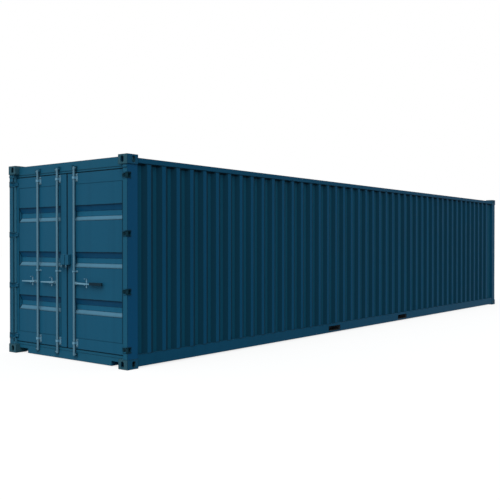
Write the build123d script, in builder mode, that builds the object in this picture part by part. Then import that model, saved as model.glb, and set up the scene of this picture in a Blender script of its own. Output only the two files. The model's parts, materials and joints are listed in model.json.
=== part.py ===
from build123d import *
import os

os.makedirs("parts", exist_ok=True)

# Forty foot dry freight container, in millimetres.
# X runs along the length with the doors at the low end, Y across it, Z up from the ground.
# Left and right are as seen by someone who stands outside and faces the doors: left is +Y.

# Overall size
length = 12192
width = 2438
height = 2591

# Corner castings
casting_length = 178
casting_width = 162
casting_height = 118
casting_plate = 28.5
casting_wall = 16
lock_slot_length = 124
lock_slot_width = 63.5
lock_slot_end_inset = 103.5
lock_slot_side_inset = 89.5
side_hole_height = 79.5
side_hole_width = 51
side_hole_corner = 16

# Posts, and the lip of the header that runs on across the tops of the door posts
post_inset = 8
door_post_width = 78
door_post_wall = 10
front_post_plate = 8
front_post_flange = 52
lip_inset = 2

# Side rails, with the upper one measured down from the top of the container
rail_inset = 12
bottom_rail_bottom = 20
bottom_rail_top = 165
bottom_rail_wall = 4.5
bottom_rail_flange = 48
bottom_rail_lip = 30
top_rail_size = 60
top_rail_wall = 3
top_rail_drop = 38

# Corrugated sheet of the long sides, with the flat strips at its two ends
sheet = 2
side_sheet_inset = 16
side_corrugation_depth = 36
side_crest_width = 62
side_slope_run = 68
side_crest_pitch = 256.25
first_side_crest = 375
side_far_margin = 500

# Corrugated sheet of the closed end
end_sheet_inset = 16
end_corrugation_depth = 45
end_crest_width = 76
end_slope_run = 50
end_crest_pitch = 250
end_edge_margin = 150

# Roof
roof_ridge_height = 16
roof_ridge_width = 90
roof_ridge_slope = 22
roof_ridge_pitch = 209
roof_end_margin = 300
roof_edge_margin = 110

# Floor and its cross members
floor_thickness = 28
cross_member_flange = 45
cross_member_wall = 4
cross_member_height = 109.5
cross_member_pitch = 300

# Fork pockets, a pair that sits a little nearer to the doors than to the closed end
pocket_spacing = 2502
pocket_shift = -170
pocket_width = 365
pocket_bottom = 45
pocket_height = 80
pocket_wall = 5
pocket_strap = 200

# Closed end rails
end_rail_depth = 60
end_rail_wall = 4

# Door opening, with the header measured down from the top of the container
face_depth = 62
band_step = 4
header_bottom_drop = 160
header_band_drop = 133
header_top_drop = 18
sill_bottom = 10
sill_band_bottom = 118
sill_top = 152
frame_member_wall = 5
sill_notch_width = 193
sill_notch_top = 70

# Door leaves
leaf_thickness = 50
leaf_hinge_gap = 10
leaf_seam_gap = 24
leaf_edge_gap = 10
inner_stile_width = 120
outer_stile_width = 58
leaf_rail_height = 140
leaf_frame_wall = 4
gasket_lip = 5
gasket_setback = 12
gasket_width = 30

# Pressed troughs of a door leaf, inside its frame; the outermost ones are placed from its foot and top
trough_count = 3
trough_side_margin = 4
trough_flat_from_foot = 538
trough_flat_from_top = 525
trough_flat_half = 34
trough_upper_slope = 75
trough_lower_slope = 55
trough_end_slope = 12
trough_depth = 36

# Hinges, with the outermost ones placed from the foot and top of the leaf
hinge_count = 4
hinge_from_foot = 74
hinge_from_top = 83
hinge_pin_inset = 15
hinge_pin_radius = 7
hinge_knuckle_radius = 14
hinge_knuckle_faces = 8
hinge_bore_clearance = 0.1
blade_height = 50
blade_thickness = 12
blade_reach = 145
blade_bend_start = 40
blade_bend_end = 90
lug_thickness = 10
lug_clearance = 1
lug_corner = 8
notch_depth = 60

# Locking rods, each placed by its share of the leaf's width, counted from the seam
left_outer_rod_share = 0.537
left_inner_rod_share = 0.155
right_rod_share = 0.137
rod_radius = 16
rod_face_gap = 3
rod_bottom = 74
rod_top_drop = 86
bearing_half = 21
bearing_corner = 10
bearing_clearance = 0.5
bracket_plate = 6
bracket_edge = 58
bracket_height = 102
bracket_ring_height = 34
bracket_from_foot = 74
bracket_from_top = 60
mid_bracket_height = 22
mid_bracket_z = 1157
mid_bracket_wing = 38

# Cams and keepers, with the header's guide block on the other side of each cam
cam_radius = 18
cam_faces = 8
cam_height = 36
cam_reach = 38
cam_thickness = 14
cam_tongue_height = 14
keeper_plate = 6
keeper_cheek = 10
keeper_gap = 5
keeper_start = 24
keeper_end = 48
keeper_front = 34
guide_width = 21
guide_height = 42
guide_shift = 16

# Handles: each ends that far short of the next rod, and the right one has a grip sleeve over its end
handle_z = 1007
handle_bar_height = 24
handle_tip_height = 14
handle_bar_thickness = 10
handle_front = 26
handle_pivot = 58
handle_end_gap = 84
handle_pin_radius = 6
handle_pin_clearance = 0.3
handle_corner = 5
hub_height = 34
hub_thickness = 10
hub_corner = 9
grip_overlap = 20
grip_length = 236
grip_height = 36
grip_thickness = 20
left_catch_offset = 136
right_catch_offset = 228
catch_width = 20
catch_height = 122
catch_ledge = 8
catch_seat_gap = 0.3
catch_opening = 45
catch_reach = 38

# Lock box over the seam, in two halves with a gap between them, each with an ear and its eye at the foot
lock_box_bottom = 1241
lock_box_top = 1372
lock_box_right_reach = 77
lock_box_left_reach = 88
lock_box_half_gap = 3.5
lock_box_proud = 42
lock_box_wall = 5
lock_ear_width = 36
lock_ear_drop = 40
lock_ear_thickness = 10
lock_eye_radius = 8

door_plane = -length / 2
end_plane = length / 2
side_plane = width / 2
casting_inner_y = side_plane - casting_width
post_inner_y = side_plane - post_inset - door_post_width
header_bottom = height - header_bottom_drop
header_band_top = height - header_band_drop
header_top = height - header_top_drop
leaf_outer_y = post_inner_y - leaf_hinge_gap
leaf_inner_y = leaf_seam_gap / 2
leaf_width = leaf_outer_y - leaf_inner_y
leaf_bottom = sill_top + leaf_edge_gap
leaf_top = header_bottom - leaf_edge_gap
leaf_face_x = door_plane + face_depth
leaf_back_x = leaf_face_x + leaf_thickness
rod_x = leaf_face_x - rod_face_gap - rod_radius
rod_top = height - rod_top_drop
left_outer_rod_y = leaf_inner_y + leaf_width * left_outer_rod_share
left_inner_rod_y = leaf_inner_y + leaf_width * left_inner_rod_share
right_rod_y = -leaf_inner_y - leaf_width * right_rod_share
handle_reach = left_outer_rod_y - left_inner_rod_y - handle_end_gap
bracket_heights = (leaf_bottom + bracket_from_foot, leaf_top - bracket_from_top)
post_bottom = casting_height
post_top = height - casting_height
inner_end_x = door_plane + casting_length
far_end_x = end_plane - casting_length
top_rail_top = height - top_rail_drop
top_rail_bottom = top_rail_top - top_rail_size
cross_member_bottom = bottom_rail_bottom + bottom_rail_wall
floor_bottom = cross_member_bottom + cross_member_height
pocket_places = (pocket_shift - pocket_spacing / 2, pocket_shift + pocket_spacing / 2)
pin_x = door_plane + hinge_pin_inset
pin_y = side_plane - hinge_pin_inset
notch_height = blade_height + 2 * (lug_thickness + lug_clearance)


def spread(first, last, count):
    """Evenly spaced places from the first to the last."""
    return [first + (last - first) * i / (count - 1) for i in range(count)]


hinge_heights = spread(leaf_bottom + hinge_from_foot, leaf_top - hinge_from_top, hinge_count)
trough_flats = spread(leaf_bottom + trough_flat_from_foot, leaf_top - trough_flat_from_top, trough_count)


def box(x, y, z):
    """A block between two values on each axis, as a solid outside any other piece."""
    low_x, high_x = sorted(x)
    low_y, high_y = sorted(y)
    low_z, high_z = sorted(z)
    block = Box(high_x - low_x, high_y - low_y, high_z - low_z, align=Align.MIN, mode=Mode.PRIVATE)
    return Pos(low_x, low_y, low_z) * block


def both_sides(offset, half):
    """The two ranges of Y that mirror each other, from offset to half on either side of the middle."""
    return ((offset, half), (-half, -offset))


def wave(start, end, first, pitch, count, crest, slope, depth):
    """Points of one corrugated line: flat at the back, with a raised crest at each pitch."""
    points = [(start, depth)]
    for i in range(count):
        middle = first + i * pitch
        points.append((middle - crest / 2 - slope, depth))
        points.append((middle - crest / 2, 0))
        points.append((middle + crest / 2, 0))
        points.append((middle + crest / 2 + slope, depth))
    points.append((end, depth))
    return points


def save(part, name):
    """Label one finished piece and write it under its own name."""
    part.label = name
    export_step(part, f"parts/{name}.step")


# Corner castings: hollow blocks with a slot in the outer plate and a hole in the two outer walls
def corner_casting(end_sign, side_sign, top):
    outer_z = height if top else 0
    inner_z = height - casting_height if top else casting_height
    plate_z = outer_z - casting_plate if top else outer_z + casting_plate
    cavity_z = inner_z + casting_plate if top else inner_z - casting_plate
    end_x = end_sign * length / 2
    side_y = side_sign * side_plane
    slot_x = end_x - end_sign * lock_slot_end_inset
    slot_y = side_y - side_sign * lock_slot_side_inset
    middle_z = (plate_z + cavity_z) / 2
    with BuildPart() as casting:
        add(box((end_x, end_x - end_sign * casting_length), (side_y, side_y - side_sign * casting_width),
                (outer_z, inner_z)))
        add(box((end_x - end_sign * casting_wall, end_x - end_sign * (casting_length - casting_wall)),
                (side_y - side_sign * casting_wall, side_y - side_sign * (casting_width - casting_wall)),
                (plate_z, cavity_z)), mode=Mode.SUBTRACT)
        with BuildSketch(Plane.XY.offset(outer_z)):
            with Locations((slot_x, slot_y)):
                SlotOverall(lock_slot_length, lock_slot_width)
        extrude(amount=casting_plate, both=True, mode=Mode.SUBTRACT)
        for wall_plane, hole_place in ((Plane.YZ.offset(end_x), slot_y), (Plane.XZ.offset(-side_y), slot_x)):
            with BuildSketch(wall_plane) as hole:
                with Locations((hole_place, middle_z)):
                    Rectangle(side_hole_width, side_hole_height)
                chamfer(hole.vertices(), side_hole_corner)
            extrude(amount=casting_wall, both=True, mode=Mode.SUBTRACT)
    return casting.part


for level, top in (("bottom", False), ("top", True)):
    with BuildPart() as castings:
        for end_sign in (-1, 1):
            for side_sign in (-1, 1):
                add(corner_casting(end_sign, side_sign, top))
    save(castings.part, f"{level}_corner_castings")


# Door posts: hollow, with a notch at each hinge that runs through the corner
for name, sign in (("left", 1), ("right", -1)):
    outer_y = sign * (side_plane - post_inset)
    inner_y = sign * post_inner_y
    front_x = door_plane + post_inset
    notch_back = front_x + notch_depth
    with BuildPart() as post:
        add(box((front_x, inner_end_x), (outer_y, inner_y), (post_bottom, post_top)))
        core_y = (outer_y - sign * door_post_wall, inner_y + sign * door_post_wall)
        add(box((notch_back + door_post_wall, inner_end_x - door_post_wall), core_y, (post_bottom, post_top)),
            mode=Mode.SUBTRACT)
        stops = [post_bottom]
        for hinge_z in hinge_heights:
            stops += [hinge_z - notch_height / 2, hinge_z + notch_height / 2]
        stops.append(post_top)
        for low, high in zip(stops[0::2], stops[1::2]):
            low = low if low == post_bottom else low + door_post_wall
            high = high if high == post_top else high - door_post_wall
            add(box((front_x + door_post_wall, notch_back + door_post_wall), core_y, (low, high)),
                mode=Mode.SUBTRACT)
        for hinge_z in hinge_heights:
            add(box((door_plane, notch_back), (sign * side_plane, inner_y),
                    (hinge_z - notch_height / 2, hinge_z + notch_height / 2)), mode=Mode.SUBTRACT)
        add(box((door_plane + lip_inset, front_x), (outer_y, inner_y), (header_bottom, header_band_top)))
    save(post.part, f"{name}_door_post")


# Front posts: folded plate with a flange for each wall
for name, sign in (("left", 1), ("right", -1)):
    corner_x = end_plane - post_inset
    corner_y = sign * (side_plane - post_inset)
    leg_x = end_plane - casting_length
    leg_y = sign * casting_inner_y
    with BuildPart() as post:
        add(box((leg_x, corner_x), (corner_y, corner_y - sign * front_post_plate), (post_bottom, post_top)))
        add(box((corner_x - front_post_plate, corner_x), (corner_y, leg_y), (post_bottom, post_top)))
        add(box((leg_x, leg_x + front_post_plate), (corner_y, corner_y - sign * front_post_flange),
                (post_bottom, post_top)))
        add(box((corner_x - front_post_flange, corner_x), (leg_y, leg_y + sign * front_post_plate),
                (post_bottom, post_top)))
    save(post.part, f"{name}_front_post")


# Bottom side rails: channels with a wide upper flange, cut away at the fork pockets
for name, sign in (("left", 1), ("right", -1)):
    web_y = sign * (side_plane - rail_inset)
    with BuildPart() as rail:
        with BuildSketch(Plane.YZ.offset(inner_end_x)):
            with BuildLine():
                Polyline(
                    (web_y, bottom_rail_bottom),
                    (web_y, bottom_rail_top),
                    (web_y - sign * bottom_rail_flange, bottom_rail_top),
                    (web_y - sign * bottom_rail_flange, bottom_rail_top - bottom_rail_wall),
                    (web_y - sign * bottom_rail_wall, bottom_rail_top - bottom_rail_wall),
                    (web_y - sign * bottom_rail_wall, bottom_rail_bottom + bottom_rail_wall),
                    (web_y - sign * bottom_rail_lip, bottom_rail_bottom + bottom_rail_wall),
                    (web_y - sign * bottom_rail_lip, bottom_rail_bottom),
                    close=True,
                )
            make_face()
        extrude(amount=length - 2 * casting_length)
        for centre in pocket_places:
            add(box((centre - pocket_width / 2, centre + pocket_width / 2),
                    (web_y, web_y - sign * bottom_rail_wall),
                    (pocket_bottom, pocket_bottom + pocket_height)), mode=Mode.SUBTRACT)
    save(rail.part, f"{name}_bottom_side_rail")


# Top side rails: square tube
for name, sign in (("left", 1), ("right", -1)):
    rail_y = sign * (side_plane - rail_inset - top_rail_size / 2)
    with BuildPart() as rail:
        with BuildSketch(Plane.YZ.offset(inner_end_x)):
            with Locations((rail_y, top_rail_top - top_rail_size / 2)):
                Rectangle(top_rail_size, top_rail_size)
                Rectangle(top_rail_size - 2 * top_rail_wall, top_rail_size - 2 * top_rail_wall,
                          mode=Mode.SUBTRACT)
        extrude(amount=length - 2 * casting_length)
    save(rail.part, f"{name}_top_side_rail")


# Long walls: one corrugated sheet each, between the posts and the rails
side_crest_count = int((length - first_side_crest - side_far_margin) / side_crest_pitch) + 1
wall_points = wave(inner_end_x, far_end_x, door_plane + first_side_crest, side_crest_pitch,
                   side_crest_count, side_crest_width, side_slope_run, side_corrugation_depth)
for name, sign in (("left", 1), ("right", -1)):
    outer = [(x, sign * (side_plane - side_sheet_inset - depth)) for x, depth in wall_points]
    inner = [(x, y - sign * sheet) for x, y in outer]
    with BuildPart() as wall:
        with BuildSketch(Plane.XY.offset(bottom_rail_top)):
            with BuildLine():
                Polyline(*outer, *reversed(inner), close=True)
            make_face()
        extrude(amount=top_rail_bottom - bottom_rail_top)
    save(wall.part, f"{name}_side_wall")


# Closed end: corrugated sheet between two rails
end_crest_count = int(2 * (casting_inner_y - end_edge_margin) / end_crest_pitch) + 1
first_end_crest = -(end_crest_count - 1) / 2 * end_crest_pitch
end_points = wave(-casting_inner_y, casting_inner_y, first_end_crest, end_crest_pitch, end_crest_count,
                  end_crest_width, end_slope_run, end_corrugation_depth)
outer = [(end_plane - end_sheet_inset - depth, y) for y, depth in end_points]
inner = [(x - sheet, y) for x, y in outer]
with BuildPart() as front_wall:
    with BuildSketch(Plane.XY.offset(bottom_rail_top)):
        with BuildLine():
            Polyline(*outer, *reversed(inner), close=True)
        make_face()
    extrude(amount=top_rail_bottom - bottom_rail_top)
save(front_wall.part, "front_wall")

for name, low, high in (("front_bottom_rail", bottom_rail_bottom, bottom_rail_top),
                        ("front_top_rail", top_rail_bottom, top_rail_top)):
    with BuildPart() as rail:
        with BuildSketch(Plane.XZ.offset(-casting_inner_y)):
            with Locations((end_plane - rail_inset - end_rail_depth / 2, (low + high) / 2)):
                Rectangle(end_rail_depth, high - low)
                Rectangle(end_rail_depth - 2 * end_rail_wall, high - low - 2 * end_rail_wall,
                          mode=Mode.SUBTRACT)
        extrude(amount=2 * casting_inner_y)
    save(rail.part, name)


# Roof: flat sheet with pressed ridges across it
roof_y = side_plane - rail_inset
roof_front = end_plane - rail_inset
roof_ridge_count = int((roof_front - inner_end_x - 2 * roof_end_margin) / roof_ridge_pitch) + 1
first_ridge = (inner_end_x + roof_front) / 2 - (roof_ridge_count - 1) / 2 * roof_ridge_pitch
ridge_length = 2 * (roof_y - roof_edge_margin)
with BuildPart() as roof:
    with BuildSketch(Plane.XY.offset(top_rail_top)):
        with BuildLine():
            Polyline(
                (inner_end_x, -roof_y),
                (far_end_x, -roof_y),
                (far_end_x, -casting_inner_y),
                (roof_front, -casting_inner_y),
                (roof_front, casting_inner_y),
                (far_end_x, casting_inner_y),
                (far_end_x, roof_y),
                (inner_end_x, roof_y),
                close=True,
            )
        make_face()
    extrude(amount=sheet)
    for base, shrink, mode in ((top_rail_top + sheet, 0, Mode.ADD), (top_rail_top, sheet, Mode.SUBTRACT)):
        foot = roof_ridge_width - 2 * shrink
        reach = ridge_length - 2 * shrink
        middle_z = base + roof_ridge_height / 2
        with Locations(*[(first_ridge + i * roof_ridge_pitch, 0, middle_z) for i in range(roof_ridge_count)]):
            Wedge(foot, roof_ridge_height, reach, roof_ridge_slope, roof_ridge_slope,
                  foot - roof_ridge_slope, reach - roof_ridge_slope, rotation=(90, 0, 0), mode=mode)
save(roof.part, "roof")


# Fork pockets: two tunnels under the floor, open below in the middle
tunnel_half = side_plane - rail_inset - bottom_rail_wall
with BuildPart() as pockets:
    for centre in pocket_places:
        low_x = centre - pocket_width / 2
        high_x = centre + pocket_width / 2
        top_z = pocket_bottom + pocket_height
        add(box((low_x - pocket_wall, high_x + pocket_wall), (-tunnel_half, tunnel_half),
                (top_z, top_z + pocket_wall)))
        add(box((low_x - pocket_wall, low_x), (-tunnel_half, tunnel_half), (cross_member_bottom, top_z)))
        add(box((high_x, high_x + pocket_wall), (-tunnel_half, tunnel_half), (cross_member_bottom, top_z)))
        for near, far in both_sides(tunnel_half - pocket_strap, tunnel_half):
            add(box((low_x, high_x), (near, far), (pocket_bottom - pocket_wall, pocket_bottom)))
save(pockets.part, "fork_pockets")


# Cross members: channels under the floor, evenly spaced between the sill, the pockets and the closed end
bay_edges = [inner_end_x]
for centre in pocket_places:
    bay_edges += [centre - pocket_width / 2 - pocket_wall, centre + pocket_width / 2 + pocket_wall]
bay_edges.append(far_end_x)
member_places = []
for start, end in zip(bay_edges[0::2], bay_edges[1::2]):
    count = round((end - start) / cross_member_pitch)
    member_places += spread(start, end, count + 1)[1:-1]
with BuildPart() as members:
    for x in member_places:
        with BuildSketch(Plane.XZ.offset(-tunnel_half)):
            with BuildLine():
                Polyline(
                    (x, cross_member_bottom),
                    (x, floor_bottom),
                    (x + cross_member_flange, floor_bottom),
                    (x + cross_member_flange, floor_bottom - cross_member_wall),
                    (x + cross_member_wall, floor_bottom - cross_member_wall),
                    (x + cross_member_wall, cross_member_bottom + cross_member_wall),
                    (x + cross_member_flange, cross_member_bottom + cross_member_wall),
                    (x + cross_member_flange, cross_member_bottom),
                    close=True,
                )
            make_face()
        extrude(amount=2 * tunnel_half)
save(members.part, "cross_members")


# Floor: timber deck between the rails, with its far corners cut round the posts
floor_half = side_plane - rail_inset - bottom_rail_flange
floor_end = end_plane - rail_inset - end_rail_depth
with BuildPart() as floor:
    with BuildSketch(Plane.XY.offset(floor_bottom)):
        with BuildLine():
            Polyline(
                (inner_end_x, -floor_half),
                (far_end_x, -floor_half),
                (far_end_x, -casting_inner_y),
                (floor_end, -casting_inner_y),
                (floor_end, casting_inner_y),
                (far_end_x, casting_inner_y),
                (far_end_x, floor_half),
                (inner_end_x, floor_half),
                close=True,
            )
        make_face()
    extrude(amount=floor_thickness)
save(floor.part, "floor_boards")


# Door header and sill: hollow beams between the castings, that reach to the posts beside the opening
def beam_outline(shift):
    """Outline of the header or sill, moved inwards by shift, with the band beside the leaves set back."""
    face_x = leaf_face_x + shift
    band_x = leaf_face_x + band_step + shift
    back_x = inner_end_x - shift
    return face_x, band_x, back_x


for name, outer_z, band_z, opening_z in (("door_header", header_top, header_band_top, header_bottom),
                                         ("door_sill", sill_bottom, sill_band_bottom, sill_top)):
    into = 1 if outer_z < opening_z else -1
    with BuildPart() as beam:
        for shift, mode in ((0, Mode.ADD), (frame_member_wall, Mode.SUBTRACT)):
            face_x, band_x, back_x = beam_outline(shift)
            with BuildSketch(Plane.XZ.offset(-post_inner_y)):
                with BuildLine():
                    Polyline(
                        (face_x, outer_z + into * shift),
                        (face_x, band_z - into * shift),
                        (band_x, band_z - into * shift),
                        (band_x, opening_z - into * shift),
                        (back_x, opening_z - into * shift),
                        (back_x, outer_z + into * shift),
                        close=True,
                    )
                make_face()
            extrude(amount=2 * post_inner_y, mode=mode)
        if into > 0:
            notch_start = casting_inner_y - sill_notch_width
            for near, far in both_sides(notch_start - frame_member_wall, casting_inner_y):
                add(box((leaf_face_x, inner_end_x), (near, far), (outer_z, sill_notch_top + frame_member_wall)))
            for near, far in both_sides(notch_start, casting_inner_y):
                add(box((door_plane, inner_end_x - frame_member_wall), (near, far), (outer_z, sill_notch_top)),
                    mode=Mode.SUBTRACT)
        casting_z = post_bottom if into > 0 else post_top
        for near, far in both_sides(casting_inner_y, post_inner_y):
            add(box((door_plane, inner_end_x), (near, far), (outer_z, casting_z)), mode=Mode.SUBTRACT)
    save(beam.part, name)


# Hinge lugs on the posts, each pair with its pin
with BuildPart() as lugs:
    for sign in (1, -1):
        for hinge_z in hinge_heights:
            back_x = door_plane + post_inset + notch_depth
            low = hinge_z - notch_height / 2
            high = hinge_z + notch_height / 2
            nose_x = pin_x - hinge_knuckle_radius
            for lug_low in (low, high - lug_thickness):
                with BuildSketch(Plane.XY.offset(lug_low)) as outline:
                    with Locations(((nose_x + back_x) / 2, sign * pin_y)):
                        Rectangle(back_x - nose_x, 2 * hinge_knuckle_radius)
                    chamfer(outline.vertices().sort_by(Axis.X)[:2], lug_corner)
                extrude(amount=lug_thickness)
            with BuildSketch(Plane.XY.offset(low)):
                with Locations((pin_x, sign * pin_y)):
                    Circle(hinge_pin_radius)
            extrude(amount=notch_height)
save(lugs.part, "door_hinge_lugs")


# Keepers on the header and sill: a back plate with a cheek above and below each cam tongue, and
# on the header a guide block on the other side of the cam
rod_places = {
    "left_outer": (left_outer_rod_y, 1),
    "left_inner": (left_inner_rod_y, 1),
    "right": (right_rod_y, -1),
}
cam_centres = {"header": rod_top - cam_height / 2, "sill": rod_bottom + cam_height / 2}
guide_z = cam_centres["header"] + guide_shift
for level, cam_z in cam_centres.items():
    with BuildPart() as keepers:
        for rod_y, sign in rod_places.values():
            start_y = rod_y + sign * keeper_start
            end_y = rod_y + sign * keeper_end
            slot_half = cam_tongue_height / 2 + keeper_gap
            outer_half = slot_half + keeper_cheek
            add(box((leaf_face_x - keeper_plate, leaf_face_x), (start_y, end_y),
                    (cam_z - outer_half, cam_z + outer_half)))
            for low, high in ((slot_half, outer_half), (-outer_half, -slot_half)):
                add(box((door_plane + keeper_front, leaf_face_x), (start_y, end_y),
                        (cam_z + low, cam_z + high)))
            if level == "header":
                guide_y = rod_y - sign * keeper_start
                add(box((door_plane + keeper_front, leaf_face_x), (guide_y, guide_y - sign * guide_width),
                        (guide_z - guide_height / 2, guide_z + guide_height / 2)))
    save(keepers.part, f"{level}_keepers")


# Door leaves: hollow frame, pressed panel and rubber seal
for name, sign in (("left", 1), ("right", -1)):
    near = sign * leaf_inner_y
    far = sign * leaf_outer_y
    window_y = (near + sign * inner_stile_width, far - sign * outer_stile_width)
    window_z = (leaf_bottom + leaf_rail_height, leaf_top - leaf_rail_height)
    with BuildPart() as frame:
        add(box((leaf_face_x, leaf_back_x), (near, far), (leaf_bottom, leaf_top)))
        wall = leaf_frame_wall
        add(box((leaf_face_x + wall, leaf_back_x - wall), (near + sign * wall, far - sign * wall),
                (leaf_bottom + wall, leaf_top - wall)), mode=Mode.SUBTRACT)
        add(box((leaf_face_x, leaf_back_x), (window_y[0] - sign * wall, window_y[1] + sign * wall),
                (window_z[0] - wall, window_z[1] + wall)))
        add(box((leaf_face_x, leaf_back_x), window_y, window_z), mode=Mode.SUBTRACT)
    save(frame.part, f"{name}_door_frame")

    middle_y = (window_y[0] + window_y[1]) / 2
    trough_width = abs(window_y[1] - window_y[0]) - 2 * trough_side_margin
    trough_height = trough_lower_slope + 2 * trough_flat_half + trough_upper_slope
    with BuildPart() as panel:
        add(box((leaf_face_x, leaf_face_x + sheet), window_y, window_z))
        for grow, mode in ((sheet, Mode.ADD), (0, Mode.SUBTRACT)):
            mouth = trough_width + 2 * grow
            rise = trough_height + 2 * grow
            middle_x = leaf_face_x + (trough_depth + grow) / 2
            shift_z = (trough_upper_slope - trough_lower_slope) / 2
            with Locations(*[(middle_x, middle_y, flat_z + shift_z) for flat_z in trough_flats]):
                Wedge(mouth, trough_depth + grow, rise, trough_end_slope, trough_lower_slope,
                      mouth - trough_end_slope, rise - trough_upper_slope, rotation=(0, 0, -90), mode=mode)
    save(panel.part, f"{name}_door_panel")

    seal_x = (leaf_face_x + gasket_setback, leaf_face_x + gasket_setback + gasket_width)
    with BuildPart() as gasket:
        add(box(seal_x, (near - sign * gasket_lip, far + sign * gasket_lip),
                (leaf_bottom - gasket_lip, leaf_top + gasket_lip)))
        add(box(seal_x, (near, far), (leaf_bottom, leaf_top)), mode=Mode.SUBTRACT)
    save(gasket.part, f"{name}_door_gasket")


# Hinge blades: bent plates, flush with the post from the pin on, then through the notch and along the leaf
blade_front_x = door_plane + post_inset
strap_front_x = leaf_face_x - blade_thickness
bend_slant = (strap_front_x - blade_front_x) / (blade_bend_end - blade_bend_start)
bend_shift = blade_thickness * ((1 + bend_slant ** 2) ** 0.5 - 1) / bend_slant
for name, sign in (("left", 1), ("right", -1)):
    strap_end = sign * (side_plane - blade_reach)
    bend_start_y = side_plane - blade_bend_start
    bend_end_y = side_plane - blade_bend_end
    with BuildPart() as blades:
        for hinge_z in hinge_heights:
            with BuildSketch(Plane.XY.offset(hinge_z - blade_height / 2)):
                with BuildLine():
                    Polyline(
                        (blade_front_x, sign * pin_y),
                        (blade_front_x, sign * bend_start_y),
                        (strap_front_x, sign * bend_end_y),
                        (strap_front_x, strap_end),
                        (leaf_face_x, strap_end),
                        (leaf_face_x, sign * (bend_end_y + bend_shift)),
                        (blade_front_x + blade_thickness, sign * (bend_start_y + bend_shift)),
                        (blade_front_x + blade_thickness, sign * pin_y),
                        close=True,
                    )
                make_face()
                with Locations((pin_x, sign * pin_y)):
                    RegularPolygon(hinge_knuckle_radius, hinge_knuckle_faces, rotation=180 / hinge_knuckle_faces)
                    Circle(hinge_pin_radius + hinge_bore_clearance, mode=Mode.SUBTRACT)
            extrude(amount=blade_height)
    save(blades.part, f"{name}_hinge_blades")


# Locking rods: round bar with a cam at each end and a hub plate for the handle
for name, (rod_y, sign) in rod_places.items():
    with BuildPart() as rod:
        with BuildSketch(Plane.XY.offset(rod_bottom)):
            with Locations((rod_x, rod_y)):
                Circle(rod_radius)
        extrude(amount=rod_top - rod_bottom)
        for cam_z in cam_centres.values():
            with BuildSketch(Plane.XY.offset(cam_z - cam_height / 2)):
                with Locations((rod_x, rod_y)):
                    RegularPolygon(cam_radius, cam_faces, rotation=180 / cam_faces)
            extrude(amount=cam_height)
            add(box((rod_x - cam_thickness / 2, rod_x + cam_thickness / 2), (rod_y, rod_y + sign * cam_reach),
                    (cam_z - cam_tongue_height / 2, cam_z + cam_tongue_height / 2)))
        hub_front = door_plane + handle_front + handle_bar_thickness + handle_pin_clearance
        hub_reach = handle_pivot + hub_height / 2
        with BuildSketch(Plane.YZ.offset(hub_front)) as hub:
            with Locations((rod_y + sign * hub_reach / 2, handle_z)):
                Rectangle(hub_reach, hub_height)
            chamfer(hub.vertices().sort_by(Axis.X, reverse=sign > 0)[:2], hub_corner)
        extrude(amount=hub_thickness)
        with BuildSketch(Plane.YZ.offset(door_plane + handle_front)):
            with Locations((rod_y + sign * handle_pivot, handle_z)):
                Circle(handle_pin_radius)
        extrude(amount=handle_bar_thickness + handle_pin_clearance)
    save(rod.part, f"{name}_lock_rod")

    bar_start = handle_pivot - handle_bar_height / 2
    bar_low = handle_z - handle_bar_height / 2
    bar_high = handle_z + handle_bar_height / 2
    outline = (
        (bar_start, bar_low + handle_corner),
        (bar_start + handle_corner, bar_low),
        (handle_reach - handle_corner, bar_low),
        (handle_reach, bar_low + handle_corner),
        (handle_reach, bar_low + handle_tip_height),
        (handle_pivot + handle_bar_height / 2, bar_high),
        (bar_start + handle_corner, bar_high),
        (bar_start, bar_high - handle_corner),
    )
    with BuildPart() as handle:
        with BuildSketch(Plane.YZ.offset(door_plane + handle_front)):
            with BuildLine():
                Polyline(*[(rod_y + sign * reach, z) for reach, z in outline], close=True)
            make_face()
            with Locations((rod_y + sign * handle_pivot, handle_z)):
                Circle(handle_pin_radius + handle_pin_clearance, mode=Mode.SUBTRACT)
        extrude(amount=handle_bar_thickness)
    save(handle.part, f"{name}_handle")

# Grip sleeve over the end of the right handle, which is the last one made above
with BuildPart() as grip:
    grip_x = door_plane + handle_front + handle_bar_thickness / 2
    grip_start = right_rod_y - handle_reach + grip_overlap
    add(box((grip_x - grip_thickness / 2, grip_x + grip_thickness / 2), (grip_start, grip_start - grip_length),
            (handle_z - grip_height / 2, handle_z + grip_height / 2)))
    add(handle.part, mode=Mode.SUBTRACT)
save(grip.part, "right_handle_grip")


# Rod brackets: bolted plates beside the rod, and a bearing bow over it that is open towards the leaf
def rod_bracket(rod_y, middle_z, plate_spans, plate_height, bow_height):
    bow_front = rod_x - bearing_half
    bore = rod_radius + bearing_clearance
    with BuildPart() as bracket:
        for start, end in plate_spans:
            add(box((leaf_face_x - bracket_plate, leaf_face_x), (rod_y + start, rod_y + end),
                    (middle_z - plate_height / 2, middle_z + plate_height / 2)))
        with BuildSketch(Plane.XY.offset(middle_z - bow_height / 2)) as bow:
            with Locations(((bow_front + leaf_face_x) / 2, rod_y)):
                Rectangle(leaf_face_x - bow_front, 2 * bearing_half)
            chamfer(bow.vertices().sort_by(Axis.X)[:2], bearing_corner)
            with Locations((rod_x, rod_y)):
                Circle(bore, mode=Mode.SUBTRACT)
            with Locations(((rod_x + leaf_face_x) / 2, rod_y)):
                Rectangle(leaf_face_x - rod_x, 2 * bore, mode=Mode.SUBTRACT)
        extrude(amount=bow_height)
    return bracket.part


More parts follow.
